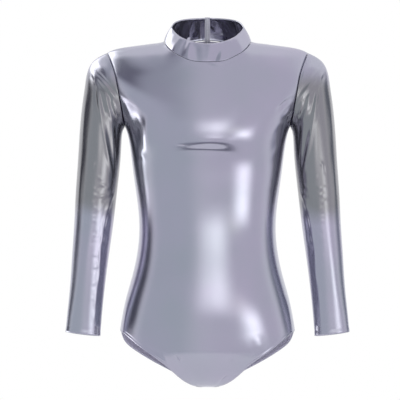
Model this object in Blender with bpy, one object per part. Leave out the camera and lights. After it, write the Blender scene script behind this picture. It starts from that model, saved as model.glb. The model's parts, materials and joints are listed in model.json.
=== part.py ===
"""Long-sleeved dance leotard with a stand collar and a centre-back zip, filled out as if worn.

The frame: the origin is at the middle of the neck, level with the top of the shoulders, where the
wearer holds the garment up. +Z is up, the front faces -Y and the wearer's left is +X. Sizes in the
tables are millimetres. The body is one closed form, worked out from its half width, its depth in
front and its depth behind at each height, and each panel is a wall of cloth on a part of that form.
"""
import math

import bmesh
import bpy
import numpy as np

MM = 0.001                # the tables are in millimetres, Blender in metres

# Cloth
BODY_CLOTH = 1.5          # wall of the panels and sleeves
COLLAR_CLOTH = 2.4        # the collar is folded double
SEAM = 0.2                # each panel stops this far from its seam line
SLEEVE_STEP = 0.6         # the sleeve starts this far outside the armhole line
LAYER_GAP = 0.35          # air between a panel and what lies on it

# Torso
SECTION_POWER = 2.2       # how full each cross-section is; 2 would be an ellipse
SHOULDER_DROP = 72.0      # below the shoulder line the chest has its whole depth
CROTCH_TOP = -550.0       # the body starts to turn under here
CROTCH_Z = -657.0
CROTCH_HALF_WIDTH = 15.0

# Half width and depths of the body at each height. Columns: height, half width, front, back.
TORSO = (
    (50.0, 196.0, 42.0, 50.0),
    (8.0, 198.0, 49.0, 60.5),
    (-18.0, 199.0, 55.5, 69.0),
    (-40.0, 199.5, 64.0, 77.0),
    (-65.0, 199.0, 79.0, 86.0),
    (-95.0, 192.0, 96.0, 94.0),
    (-140.0, 168.0, 110.0, 98.0),
    (-163.0, 156.5, 114.0, 97.0),
    (-188.0, 149.5, 113.0, 94.0),
    (-225.0, 144.0, 101.0, 87.0),
    (-264.0, 139.0, 94.0, 79.0),
    (-310.0, 132.5, 88.0, 72.0),
    (-359.0, 129.5, 86.0, 71.0),
    (-400.0, 133.0, 90.0, 82.0),
    (-435.0, 140.0, 95.0, 95.0),
    (-485.0, 153.5, 100.0, 111.0),
    (-524.0, 162.0, 99.0, 116.0),
    (-549.0, 166.0, 96.0, 114.0),
    (-600.0, 168.0, 92.0, 108.0),
    (-657.0, 168.0, 90.0, 104.0),
)

# The shoulder line from the middle of the neck outwards. Columns: distance from the middle, height.
SHOULDER = ((0.0, 42.0), (30.0, 33.0), (60.0, 12.0), (83.0, -1.0), (105.0, -5.0), (128.0, -8.0),
            (160.0, -12.5), (180.0, -17.5), (191.0, -23.0), (202.0, -31.0))
NECK_POINT = 83.0

# The armhole line, top to armpit. Columns: distance from the middle, height.
ARMHOLE = ((191.0, -23.0), (183.5, -40.0), (174.5, -64.0), (168.5, -91.0), (164.0, -116.0),
           (159.5, -143.0), (156.5, -163.0))

# The leg openings' edges, hip to crotch. Columns: distance from the middle, height.
LEG_FRONT = ((166.0, -549.0), (159.0, -552.0), (146.0, -561.0), (128.0, -574.0), (102.0, -592.0),
             (76.0, -611.0), (50.0, -636.0), (30.0, -650.0), (15.0, -657.0))
LEG_BACK = ((166.0, -549.0), (164.0, -561.0), (158.0, -576.0), (147.0, -588.0), (130.0, -601.0),
            (112.0, -612.5), (88.0, -625.5), (64.0, -637.0), (45.0, -646.0), (30.0, -652.5), (15.0, -657.0))

# Neckline: half width, front depth, back depth. The collar's top has its heights at the front, side
# and back too.
NECKLINE = (83.0, 67.0, 56.0)
NECK_POWER = 2.6
COLLAR_TOP = (68.0, 47.0, 45.0, -9.0, 28.0, 49.0)

# Sleeve rings down the wearer's left arm. Columns: outer point across and up, inner point across and
# up, half depth, how far the ring bows towards the neck. The cap is filled out as far as a fold that
# runs down from its tip to the armpit, and the rest hangs straight and empty.
SLEEVE = (
    (191.0, -23.0, 156.5, -163.0, 46.0, 4.0),
    (203.0, -29.0, 157.2, -164.5, 46.5, 9.0),
    (214.0, -36.5, 158.0, -166.2, 47.5, 13.0),
    (222.5, -47.0, 159.0, -168.0, 49.0, 13.0),
    (228.5, -63.0, 160.0, -170.5, 50.5, 9.0),
    (232.5, -88.0, 161.0, -175.0, 51.5, 5.0),
    (237.0, -120.0, 162.0, -183.0, 52.0, 2.0),
    (241.5, -165.0, 162.8, -196.0, 51.0, 0.0),
    (245.0, -220.0, 164.8, -228.0, 49.0, 0.0),
    (249.5, -285.0, 171.0, -285.0, 44.0, 0.0),
    (252.5, -345.0, 178.0, -345.0, 38.5, 0.0),
    (256.5, -405.0, 186.3, -405.0, 34.0, 0.0),
    (260.5, -465.0, 194.2, -466.0, 29.0, 0.0),
    (265.5, -515.0, 199.5, -517.0, 24.5, 0.0),
    (269.0, -552.0, 203.0, -560.0, 21.5, 0.0),
)
# The sleeve's largest folds. Columns: angle round the sleeve at the top and at the bottom (0 is
# outside, 90 front, 180 inside), height of its two ends, height of the ridge, its width in degrees.
SLEEVE_FOLDS = (
    (62.0, 118.0, -70.0, -300.0, 2.6, 17.0),
    (100.0, 140.0, -110.0, -330.0, 2.0, 14.0),
    (215.0, 250.0, -90.0, -320.0, 2.4, 18.0),
    (285.0, 300.0, -70.0, -300.0, 2.4, 18.0),
    (88.0, 60.0, -290.0, -520.0, 1.8, 20.0),
    (262.0, 285.0, -300.0, -510.0, 1.8, 20.0),
)

# Elastic, zip, slider and pull
ELASTIC_WIDTH = 10.0
ELASTIC_THICK = 0.9
ELASTIC_GAP = 1.7         # its own facets and the panel's bow this far towards each other
ZIP_BOTTOM = -200.0
ZIP_ABOVE_COLLAR = 1.5
TAPE_HALF_WIDTH = 5.0
TAPE_THICK = 0.8
TAPE_GAP = 0.7
COIL_HALF_WIDTH = 1.8
COIL_RISE = 1.1
SLIDER_DOWN = 9.0         # centre of the slider below the collar's top edge
SLIDER_LENGTH = 9.0
SLIDER_HALF_WIDTH = 3.6
SLIDER_THICK = 1.2
PULL_AXIS_OUT = 2.9       # the pull's axis above the collar's surface
PULL_LENGTH = 19.0
PULL_HALF_WIDTH = 2.9
PULL_THICK = 1.1

# How a panel's rows run
YOKE_END = 0.6            # share of the armhole that the rows above the bust take up
YOKE_SAG = 26.0
LEG_LIFT = 88.0

# How finely the solids are divided
ACROSS = 24
YOKE_ROWS = 6
SIDE_ROWS = 12
LEG_ROWS = 16
ARMHOLE_ROWS = 10
SLEEVE_RINGS = 22
COLLAR_STEPS = 48


def clear_scene():
    for old in list(bpy.data.objects):
        bpy.data.objects.remove(old, do_unlink=True)


def spline(xs, ys, x):
    """A natural cubic curve through the points, which keeps its bend continuous."""
    xs, ys = np.asarray(xs, float), np.asarray(ys, float)
    n = len(xs)
    h = np.diff(xs)
    m = np.zeros((n, n))
    r = np.zeros(n)
    m[0, 0] = m[-1, -1] = 1.0
    for i in range(1, n - 1):
        m[i, i - 1:i + 2] = h[i - 1], 2 * (h[i - 1] + h[i]), h[i]
        r[i] = 6 * ((ys[i + 1] - ys[i]) / h[i] - (ys[i] - ys[i - 1]) / h[i - 1])
    k = np.linalg.solve(m, r)
    x = np.clip(np.asarray(x, float), xs[0], xs[-1])
    i = np.clip(np.searchsorted(xs, x, side="right") - 1, 0, n - 2)
    a, b = xs[i + 1] - x, x - xs[i]
    return ((k[i] * a ** 3 + k[i + 1] * b ** 3) / (6 * h[i])
            + (ys[i] / h[i] - k[i] * h[i] / 6) * a + (ys[i + 1] / h[i] - k[i + 1] * h[i] / 6) * b)


TORSO_COLUMNS = np.array(TORSO[::-1]).T


def half_width(z):
    return spline(TORSO_COLUMNS[0], TORSO_COLUMNS[1], z)


def depth(z, side):
    """The body's depth in front (side -1) or behind (side 1) at its middle, before it turns under."""
    return spline(TORSO_COLUMNS[0], TORSO_COLUMNS[2 if side < 0 else 3], z)


def shoulder_height(x):
    columns = np.array(SHOULDER).T
    return spline(columns[0], columns[1], np.abs(x))


def fullness(x, z):
    """The share of the whole depth that the form has at a point: less near its sides, its shoulder
    line and its crotch."""
    across = np.clip(np.abs(x) / half_width(z), 0.0, 1.0)
    round_share = (1 - across ** SECTION_POWER) ** (1 / SECTION_POWER)
    drop = np.clip((shoulder_height(x) - z) / SHOULDER_DROP, 0.0, 1.0)
    shoulder_share = np.sqrt(1 - (1 - drop) ** 2.6)
    under = np.clip((CROTCH_TOP - z) / (CROTCH_TOP - CROTCH_Z), 0.0, 1.0)
    under_share = np.sqrt(1 - under ** 2.4)
    return round_share * shoulder_share * under_share


def on_body(x, z, side):
    """The point of the form in front of or behind (x, z)."""
    y = side * (SEAM + depth(z, side) * fullness(x, z))
    return np.stack(np.broadcast_arrays(x, y, z), axis=-1)


def line_at(table, t):
    """The point at share t along a line given by a table of points."""
    points = np.array(table)
    run = np.concatenate(([0], np.cumsum(np.hypot(*np.diff(points, axis=0).T))))
    return spline(run, points[:, 0], t * run[-1]), spline(run, points[:, 1], t * run[-1])


def leg_line(side, t):
    """The point at share t of a leg opening's edge, hip to crotch, measured along the form."""
    x, z = line_at(LEG_FRONT if side < 0 else LEG_BACK, np.linspace(0, 1, 400))
    x = np.minimum(x, half_width(z))
    steps = np.linalg.norm(np.diff(on_body(x, z, side), axis=0), axis=1)
    run = np.concatenate(([0], np.cumsum(steps)))
    return np.interp(t * run[-1], run, x), np.interp(t * run[-1], run, z)


def armhole(t):
    return line_at(ARMHOLE, (1 - np.cos(math.pi * t)) / 2)


def neck_line(angle):
    """The neckline's points on the body's form; angle 0 is the centre front and pi the centre back."""
    width, front, back = NECKLINE
    angle = np.atleast_1d(np.asarray(angle, float))
    ahead = np.cos(angle) > 1e-6
    x = width * np.sin(angle)
    square = (1 - np.abs(np.sin(angle)) ** NECK_POWER).clip(0, 1) ** (1 / NECK_POWER)
    reach = square * np.where(ahead, front, back)
    low, high = np.full(x.shape, -90.0), shoulder_height(x)
    for _ in range(40):
        z = (low + high) / 2
        whole = np.where(ahead, depth(z, -1), depth(z, 1)) * fullness(x, z)
        low, high = np.where(whole > reach, z, low), np.where(whole > reach, high, z)
    side = np.where(ahead, -1.0, 1.0)
    return x, side * (SEAM + reach), z


def collar_ring(sizes, angle):
    """A point of the collar's top edge; angle 0 is the centre front and pi the centre back."""
    width, front, back, z_front, z_side, z_back = sizes
    mean = (z_front + z_back) / 2
    swing = (z_front - z_back) / 2
    x = width * np.sin(angle)
    y = -np.cos(angle) * np.where(np.cos(angle) > 0, front, back)
    z = (mean + z_side) / 2 + swing * np.cos(angle) + (mean - z_side) / 2 * np.cos(2 * angle)
    return x, y, z


def top_edge(u, side):
    """The neckline and then the shoulder line, as a panel's top edge, from u = 0 at the middle."""
    neck_share = 0.5
    angle = np.clip(u / neck_share, 0, 1) * math.pi / 2
    nx, _, nz = neck_line(angle if side < 0 else math.pi - angle)
    out = np.clip((u - neck_share) / (1 - neck_share), 0, 1)
    sx = NECK_POINT + (ARMHOLE[0][0] - NECK_POINT) * out
    sz = shoulder_height(sx)
    on_neck = u <= neck_share
    return np.where(on_neck, nx, sx), np.where(on_neck, nz, sz)


def row(u, edge_x, edge_z, middle_z, lift=0.0):
    """A row of a panel from its middle (u = 0) to its edge (u = 1). It sags or rises to its middle, and
    the lift turns it square to the leg opening at its edge."""
    z = middle_z + (edge_z - middle_z) * u ** 2 + lift * u ** 2 * (1 - u)
    reach = math.asin(min(1.0, float(edge_x / half_width(edge_z))))
    return half_width(z) * np.sin(reach * u), z


def panel_rows(u, side):
    """All the rows of a half panel, top to bottom, as points of the body's form."""
    rows = []
    end_x, end_z = armhole(YOKE_END)
    low = row(u, end_x, end_z, end_z - YOKE_SAG)
    top = top_edge(u, side)
    for i in range(YOKE_ROWS):
        v = i / YOKE_ROWS
        w = v ** 1.35
        x = (1 - w) * top[0] + w * low[0]
        z = (1 - w) * top[1] + w * low[1]
        edge_x, edge_z = armhole(YOKE_END * v)
        pull = u ** 3
        rows.append((x + pull * (edge_x - x[-1]), z + pull * (edge_z - z[-1])))
    for i in range(ARMHOLE_ROWS - YOKE_ROWS):
        t = YOKE_END + (1 - YOKE_END) * i / (ARMHOLE_ROWS - YOKE_ROWS)
        edge_x, edge_z = armhole(t)
        rows.append(row(u, edge_x, edge_z, edge_z - YOKE_SAG))
    hip = LEG_FRONT[0][1]
    armpit = ARMHOLE[-1][1]
    for i in range(SIDE_ROWS):
        t = i / SIDE_ROWS
        z = armpit + (hip - armpit) * t
        rows.append(row(u, float(half_width(z)), z, z - YOKE_SAG * (1 - t) ** 2, LEG_LIFT * t ** 4))
    for i in range(LEG_ROWS + 1):
        t = i / LEG_ROWS
        edge_x, edge_z = leg_line(side, t)
        middle = hip + (CROTCH_Z - hip) * math.sin(math.pi / 2 * t ** 0.95)
        rows.append(row(u, edge_x, edge_z, middle, LEG_LIFT * (1 - t)))
    return rows


def panel(side, across):
    """The half panel's points, shape (rows, across + 1, 3), from the middle to the edge."""
    u = np.linspace(0, 1, across + 1)
    return np.array([on_body(x, z, side) for x, z in panel_rows(u, side)])


def normals(grid, wrap=False):
    """The unit normal at each point of a grid of points, outwards once it is signed."""
    if wrap:
        wide = np.concatenate([grid[:, -2:], grid, grid[:, :2]], axis=1)
        along = np.gradient(wide, axis=1)[:, 2:-2]
    else:
        along = np.gradient(grid, axis=1)
    down = np.gradient(grid, axis=0)
    n = np.cross(along, down)
    return n / np.maximum(np.linalg.norm(n, axis=-1, keepdims=True), 1e-9)


def unit(v):
    return v / np.maximum(np.linalg.norm(v, axis=-1, keepdims=True), 1e-9)


def shell(name, outer, inner, material, wrap=False):
    """A closed wall between two grids of points."""
    rows, columns = outer.shape[:2]
    half = rows * columns
    faces = []
    last = columns if wrap else columns - 1
    for i in range(rows - 1):
        for j in range(last):
            a, b = i * columns + j, i * columns + (j + 1) % columns
            c, d = b + columns, a + columns
            faces += [(a, b, c, d), (half + d, half + c, half + b, half + a)]
    loop = lambda a, b: faces.append((a, half + a, half + b, b))
    for j in range(last):
        a, b = j, (j + 1) % columns
        loop(a, b)
        loop(b + (rows - 1) * columns, a + (rows - 1) * columns)
    if not wrap:
        for i in range(rows - 1):
            loop((i + 1) * columns, i * columns)
            loop(i * columns + columns - 1, (i + 1) * columns + columns - 1)
    points = np.concatenate([outer.reshape(-1, 3), inner.reshape(-1, 3)]) * MM
    return solid(name, points.tolist(), faces, material)


def solid(name, points, faces, material):
    mesh = bpy.data.meshes.new(name)
    mesh.from_pydata(points, [], faces)
    bm = bmesh.new()
    bm.from_mesh(mesh)
    bmesh.ops.recalc_face_normals(bm, faces=bm.faces)
    if bm.calc_volume(signed=True) < 0:
        bmesh.ops.reverse_faces(bm, faces=bm.faces)
    bm.to_mesh(mesh)
    bm.free()
    mesh.materials.append(material)
    mesh.shade_smooth()
    mesh.set_sharp_from_angle(angle=math.radians(50))
    obj = bpy.data.objects.new(name, mesh)
    bpy.context.collection.objects.link(obj)
    return obj


def paint(name, colour, roughness, metallic):
    material = bpy.data.materials.new(name)
    material.use_nodes = True
    bsdf = material.node_tree.nodes["Principled BSDF"]
    bsdf.inputs["Base Color"].default_value = (*colour, 1)
    bsdf.inputs["Roughness"].default_value = roughness
    bsdf.inputs["Metallic"].default_value = metallic
    return material


def armhole_in(point_side):
    """The direction into the armhole from each of its points, in its own plane."""
    top = np.array([ARMHOLE[0][0], 0.0, ARMHOLE[0][1]])
    armpit = np.array([ARMHOLE[-1][0], 0.0, ARMHOLE[-1][1]])
    middle = (top + armpit) / 2
    chord = unit(top - armpit)
    flat = point_side - middle
    along = (flat @ chord)[..., None] * chord
    across = flat * np.array([0.0, 1.0, 0.0])
    return -unit(along / 67.0 ** 2 + across / 46.0 ** 2)


def wall(grid, side, halved):
    """The outer and inner faces of a panel given from the middle to the edge on the wearer's left."""
    n = normals(grid)
    if float(np.sum(n[..., 1]) * side) < 0:
        n = -n
    armhole_rows = ARMHOLE_ROWS
    top_out = (np.arange(grid.shape[1]) >= (grid.shape[1] - 1) // 2)
    square = np.array([1.0, 0.0, 1.0])
    n[0, top_out] = unit(n[0, top_out] * square)                    # shoulder seam
    n[0, ~top_out] = unit(n[0, ~top_out] + np.array([0, side * 0.6, 0.0]))
    n[armhole_rows:armhole_rows + SIDE_ROWS + 1, -1] = unit(
        n[armhole_rows:armhole_rows + SIDE_ROWS + 1, -1] * square)  # side seam
    n[:armhole_rows + 1, -1] = -armhole_in(grid[:armhole_rows + 1, -1])
    n[-1] = np.array([0.0, 0.0, -1.0])                              # crotch seam
    n[:, 0, 0] = 0.0                                                # centre line
    n[:, 0] = unit(n[:, 0])
    return grid, grid - n * BODY_CLOTH


def mirrored(grid):
    return grid * np.array([-1.0, 1.0, 1.0])


def build_panels(cloth):
    outer, inner = wall(panel(-1, ACROSS // 2), -1, False)
    join = lambda g: np.concatenate([mirrored(g)[:, :0:-1], g], axis=1)
    shell("front", join(outer), join(inner), cloth)
    outer, inner = wall(panel(1, ACROSS // 2), 1, True)
    for g in (outer, inner):
        g[:, 0, 0] = SEAM
    shell("back_left", outer, inner, cloth)
    shell("back_right", mirrored(outer), mirrored(inner), cloth)


def sleeve_points(ring_count, around):
    """The outside of the left sleeve: rings from the armhole to the cuff."""
    columns = np.array(SLEEVE).T
    stations = np.concatenate(([0.0], np.cumsum(
        np.hypot(*np.diff((columns[0:2] + columns[2:4]) / 2, axis=1)) + 6.0)))
    s = np.linspace(0, 1, ring_count + 1)
    s = (s + 0.35 * s ** 2) / 1.35
    ox, oz, ix, iz, b, bow = (spline(stations, c, s * stations[-1])[:, None] for c in columns)
    theta = np.linspace(0, 2 * math.pi, around + 1)[None, :-1]
    length = np.hypot(ox - ix, oz - iz)
    up_x, up_z = -(oz - iz) / length, (ox - ix) / length
    lean = bow * np.sin(theta) ** 2
    x = (ox + ix) / 2 + (ox - ix) / 2 * np.cos(theta) + up_x * lean
    z = (oz + iz) / 2 + (oz - iz) / 2 * np.cos(theta) + up_z * lean
    y = -b * np.sin(theta) + 0 * x
    grid = np.stack([x, y, z], axis=-1)
    share = np.where(theta <= math.pi, theta, 2 * math.pi - theta)[0] / math.pi
    ax, az = armhole(share)
    side = np.where(theta[0] <= math.pi, -1.0, 1.0)
    first = np.array([on_body(ax[i], az[i], side[i]) for i in range(len(ax))])
    fade = np.clip(1 - s / 0.16, 0, 1)[:, None, None] ** 2 * (1 + 2 * np.clip(s / 0.16, 0, 1))[:, None, None]
    grid = grid + (first - grid[0])[None] * fade
    grid[..., 0] += SLEEVE_STEP
    return grid, np.degrees(theta[0]), s


def sleeve_folds(grid, degrees, n):
    """Moves the sleeve's surface out along its largest folds."""
    z = grid[..., 2]
    lift = np.zeros(z.shape)
    for top_angle, low_angle, z_top, z_low, height, spread in SLEEVE_FOLDS:
        t = (z_top - z) / (z_top - z_low)
        along = np.clip(np.sin(math.pi * np.clip(t, 0, 1)), 0, 1) ** 0.8
        centre = top_angle + (low_angle - top_angle) * np.clip(t, 0, 1)
        off = (degrees[None, :] - centre + 180) % 360 - 180
        lift += height * along * (np.exp(-(off / spread) ** 2) - 0.35 * np.exp(-(off / (2 * spread)) ** 2))
    start = np.clip(np.arange(len(grid)) / 6, 0, 1) ** 2
    return grid + n * (lift * start[:, None])[..., None]


def build_sleeves(cloth):
    grid, degrees, s = sleeve_points(SLEEVE_RINGS, 2 * ARMHOLE_ROWS)
    n = normals(grid, wrap=True)
    if np.sum(n[-3, :, 0] * np.cos(np.radians(degrees))) < 0:
        n = -n
    grid = sleeve_folds(grid, degrees, n)
    n = normals(grid, wrap=True) * (1 if np.sum(normals(grid, wrap=True)[-3, :, 0]
                                             * np.cos(np.radians(degrees))) > 0 else -1)
    n[0] = -armhole_in(grid[0] - np.array([SLEEVE_STEP, 0, 0]))
    n[1] = unit(n[1] + n[0])
    inner = grid - n * BODY_CLOTH
    shell("sleeve_left", grid, inner, cloth, wrap=True)
    shell("sleeve_right", mirrored(grid), mirrored(inner), cloth, wrap=True)


def collar_wall(steps, gap):
    """The collar's outer and inner faces, from the centre back round the front to the centre back."""
    angle = np.linspace(math.pi, -math.pi, steps + 1)
    angle[0] -= gap / NECKLINE[0]
    angle[-1] += gap / NECKLINE[0]
    joints = np.linspace(0, math.pi, ACROSS // 2 + 1)
    joints[0] = joints[0] + 1e-6
    turn = np.abs(angle)
    base = np.stack([np.interp(turn, joints, c) for c in neck_line(joints)], axis=-1)
    base[:, 0] *= np.sign(angle)
    top = np.stack(collar_ring(COLLAR_TOP, angle), axis=-1)
    rise = unit(top - base)
    rows = []
    for t in np.linspace(0, 1, 5):
        swell = 1.6 * math.sin(math.pi * t)
        out = unit(base * np.array([1.0, 1.0, 0.0]))
        rows.append(base + (top - base) * t + out * swell)
    outer = np.array(rows)
    outer[0] += rise * 3 * LAYER_GAP
    n = normals(outer)
    if np.sum(n[2, :, 1] * outer[2, :, 1]) < 0:
        n = -n
    n[0, :, 2] = 0.0
    n[:, [0, -1], 0] = 0.0
    n = unit(n)
    return outer, outer - n * COLLAR_CLOTH


def build_collar(cloth):
    outer, inner = collar_wall(COLLAR_STEPS, SEAM)
    shell("collar", outer, inner, cloth)


def depth_gap(p):
    """Zero on the body's form, positive outside it."""
    x, y, z = p
    side = -1 if y < 0 else 1
    whole = float(depth(z, side))
    return (max(abs(y) - SEAM, 0) / whole) ** 2 - float(fullness(x, z)) ** 2


def form_normal(p):
    step = 0.4
    g = np.array([(depth_gap(p + step * e) - depth_gap(p - step * e)) / (2 * step) for e in np.eye(3)])
    return g


def settle(p):
    """The nearby point of the body's form."""
    for _ in range(6):
        g = form_normal(p)
        p = p - g * depth_gap(p) / max(float(g @ g), 1e-12)
    return p


def leg_loop(count):
    """Points round the left leg opening's edge, from the hip over the front to the crotch and back up."""
    edge = []
    for side in (-1, 1):
        for t in np.linspace(0, 1, count // 2 + 1):
            edge.append(on_body(*leg_line(side, t), side))
    half = count // 2 + 1
    front, back = edge[:half], edge[half:][::-1]
    front[0] = front[0] * np.array([1, 0, 1])
    front[-1] = front[-1] * np.array([1, 0, 1])
    return np.array(front + back[1:-1])


def build_leg_bands(elastic):
    """An elastic inside each leg opening, a flat band that follows the edge all the way round."""
    edge = leg_loop(2 * LEG_ROWS)
    ahead = unit(np.roll(edge, -1, axis=0) - np.roll(edge, 1, axis=0))
    out = np.array([form_normal(p * np.array([0.9995, 1, 1]) + np.array([0, 0, 0.05])) for p in edge])
    into = unit(np.cross(unit(out), ahead))
    into = into if into[len(edge) // 4, 2] > 0 else -into
    outer, inner = [], []
    for width in (0.8, ELASTIC_WIDTH / 2, ELASTIC_WIDTH):
        flat = np.array([settle(p + d * width) for p, d in zip(edge, into)])
        n = unit(np.array([form_normal(p) for p in flat]))
        outer.append(flat - n * (BODY_CLOTH + ELASTIC_GAP))
        inner.append(flat - n * (BODY_CLOTH + ELASTIC_GAP + ELASTIC_THICK))
    outer, inner = np.array(outer), np.array(inner)
    shell("leg_band_left", outer, inner, elastic, wrap=True)
    shell("leg_band_right", mirrored(outer), mirrored(inner), elastic, wrap=True)


def build_zip(tape_paint, metal):
    """The tape with its coil inside the centre back, then the slider and its pull outside."""
    outer, inner = collar_wall(COLLAR_STEPS, SEAM)
    across = np.array([-TAPE_HALF_WIDTH, -COIL_HALF_WIDTH, -COIL_HALF_WIDTH * 0.55,
                       COIL_HALF_WIDTH * 0.55, COIL_HALF_WIDTH, TAPE_HALF_WIDTH])
    bead = np.array([0.0, 0.0, COIL_RISE, COIL_RISE, 0.0, 0.0])[:, None]
    back_face, front_face = [], []
    heights = [z[0] for _, z in panel_rows(np.array([0.0, 1.0]), 1)]
    for z in [ZIP_BOTTOM] + [h for h in heights[:0:-1] if h > ZIP_BOTTOM + 5]:
        slope = (on_body(0.0, z + 1, 1) - on_body(0.0, z - 1, 1))[1] / 2
        n = unit(np.array([0.0, 1.0, -slope]))
        line = np.array([on_body(x, z, 1) for x in across]) - n * (BODY_CLOTH + TAPE_GAP)
        back_face.append(line)
        front_face.append(line - n * (TAPE_THICK + bead))
    low, top = inner[0, 0], inner[-1, 0]
    rise = unit((top - low) * np.array([0.0, 1.0, 1.0]))
    n = np.array([0.0, rise[2], -rise[1]])
    curve = across ** 2 / (2 * COLLAR_TOP[0])
    for i in range(len(inner)):
        p = inner[i, 0] + rise * (ZIP_ABOVE_COLLAR if i == len(inner) - 1 else 0.0)
        line = np.array([[x, p[1] - TAPE_GAP - c, p[2]] for x, c in zip(across, curve)])
        back_face.append(line)
        front_face.append(line - n * (TAPE_THICK + bead))
    shell("zip_tape", np.array(back_face), np.array(front_face), tape_paint)
    build_slider(outer, metal)


def extrude(name, outline, half, place, material):
    """A flat outline in the plane of (down, out), thick along X, placed by place()."""
    count = len(outline)
    points = [place(s * half, d, o) * MM for s in (-1, 1) for d, o in outline]
    faces = [tuple(range(count)), tuple(range(2 * count - 1, count - 1, -1))]
    faces += [(i, (i + 1) % count, count + (i + 1) % count, count + i) for i in range(count)]
    return solid(name, [tuple(p) for p in points], faces, material)


def build_slider(outer, metal):
    top, low = outer[-1, 0], outer[0, 0]
    down = unit(low - top) * np.array([0, 1, 1])
    out = np.array([0.0, -down[2], down[1]])
    out = out if out[1] > 0 else -out
    seat = np.array([0.0, 0.0, 0.0])
    length = np.linalg.norm(low - top)
    share = 1 - SLIDER_DOWN / length
    seat = low + (top - low) * share + out * (1.6 * math.sin(math.pi * share))
    seat[0] = 0.0
    place = lambda x, d, o: seat + down * d + out * o + np.array([x, 0, 0])
    foot = LAYER_GAP
    h = SLIDER_LENGTH / 2
    plate = extrude("zip_slider", [(-h, foot), (h, foot), (h, foot + SLIDER_THICK), (-h, foot + SLIDER_THICK)],
                    SLIDER_HALF_WIDTH, place, metal)
    a, r, bar = PULL_AXIS_OUT, 1.15, 0.8
    sunk = foot + 0.4
    arch = extrude("slider_arch", [(-r - bar, sunk), (-r, sunk), (-r, a + 0.5), (-r * 0.6, a + r), (r * 0.6, a + r),
                                   (r, a + 0.5), (r, sunk), (r + bar, sunk), (r + bar, a + 0.9),
                                   (r * 0.8, a + r + bar), (-r * 0.8, a + r + bar), (-r - bar, a + 0.9)],
                   0.8, place, metal)
    arch.hide_render = True
    arch.display_type = "WIRE"
    join = plate.modifiers.new("arch", "BOOLEAN")
    join.operation = "UNION"
    join.object = arch
    hinge = seat + out * a
    slot, bar_half, t = 1.35, 0.5, PULL_THICK / 2
    w = PULL_HALF_WIDTH
    # The pull lies down along the collar: a bar under the arch, two cheeks beside it, then the tab.
    stations = (-bar_half, bar_half, 3.2, PULL_LENGTH - 2.0, PULL_LENGTH)
    widths = (slot + 1.0, slot + 1.0, w, w, w * 0.6)
    points, faces = [], []
    for o in (-t, t):
        for d, wide in zip(stations, widths):
            for x in (-wide, -slot, slot, wide):
                points.append(tuple((np.array([x, 0, 0]) + hinge + down * d + out * o) * MM))
    cell = lambda layer, i, j: layer * 20 + i * 4 + j
    open_cells = {(1, 1)}
    for i in range(4):
        for j in range(3):
            if (i, j) in open_cells:
                continue
            quad = [(i, j), (i, j + 1), (i + 1, j + 1), (i + 1, j)]
            faces.append([cell(0, *q) for q in quad])
            faces.append([cell(1, *q) for q in quad[::-1]])
            for k in range(4):
                (i0, j0), (i1, j1) = quad[k], quad[(k + 1) % 4]
                step = {0: (i - 1, j), 1: (i, j + 1), 2: (i + 1, j), 3: (i, j - 1)}[k]
                inside = 0 <= step[0] < 4 and 0 <= step[1] < 3 and step not in open_cells
                if not inside:
                    faces.append([cell(0, i0, j0), cell(1, i0, j0), cell(1, i1, j1), cell(0, i1, j1)])
    pull = solid("zip_pull", points, faces, metal)
    print("pull axis", [round(float(v), 5) for v in hinge * MM], "slider", [round(float(v), 5) for v in seat * MM])
    return pull


def main():
    clear_scene()
    cloth = paint("metallic knit", (0.48, 0.49, 0.55), 0.32, 0.85)
    elastic = paint("elastic", (0.62, 0.60, 0.72), 0.75, 0.0)
    tape = paint("zip tape", (0.62, 0.62, 0.70), 0.7, 0.0)
    metal = paint("zip metal", (0.55, 0.55, 0.58), 0.3, 1.0)
    build_panels(cloth)
    build_sleeves(cloth)
    build_collar(cloth)
    build_leg_bands(elastic)
    build_zip(tape, metal)


main()
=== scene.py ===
# %% [markdown]
# # A long-sleeved dance leotard in silver foil cloth
# The garment is cut from a stretch knit with a metal foil on its outer side. It has a front, two half
# backs that meet at a zip, two set-in sleeves, a stand collar and an elastic round each leg opening.
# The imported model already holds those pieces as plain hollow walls. Here each one becomes a thin sheet
# of cloth on the same form, with its creases, its seams and the look of the foil.

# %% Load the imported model
import json
import math

import bmesh
import bpy
import numpy as np
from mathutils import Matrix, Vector

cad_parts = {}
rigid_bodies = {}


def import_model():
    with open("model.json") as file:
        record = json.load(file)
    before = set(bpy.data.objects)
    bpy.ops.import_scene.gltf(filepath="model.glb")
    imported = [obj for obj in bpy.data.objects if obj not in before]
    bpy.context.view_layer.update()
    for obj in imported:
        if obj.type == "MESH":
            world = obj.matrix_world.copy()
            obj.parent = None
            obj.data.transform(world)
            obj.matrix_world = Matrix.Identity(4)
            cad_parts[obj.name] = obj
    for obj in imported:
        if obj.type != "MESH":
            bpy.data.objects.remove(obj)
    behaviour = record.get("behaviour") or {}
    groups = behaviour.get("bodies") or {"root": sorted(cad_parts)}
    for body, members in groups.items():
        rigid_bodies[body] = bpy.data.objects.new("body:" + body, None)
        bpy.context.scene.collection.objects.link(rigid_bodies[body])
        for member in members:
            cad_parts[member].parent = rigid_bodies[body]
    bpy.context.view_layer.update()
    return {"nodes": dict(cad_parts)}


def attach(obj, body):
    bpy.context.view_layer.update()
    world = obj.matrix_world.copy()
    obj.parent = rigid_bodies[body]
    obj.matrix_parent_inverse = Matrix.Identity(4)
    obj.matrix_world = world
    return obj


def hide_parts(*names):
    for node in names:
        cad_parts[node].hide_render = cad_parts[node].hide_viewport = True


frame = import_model()
GARMENT = "garment"
MM = 0.001

# %% [markdown]
# ## The size of the body inside
# A stretch garment takes the shape of its wearer, so its pattern is easiest to give as sections through
# a body: a half width, a depth in front and a depth behind at each height. All the sizes are in
# millimetres, from the middle of the neck, and every piece below is laid on this one form, so the
# pieces meet at their seams without any fitting.

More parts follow.
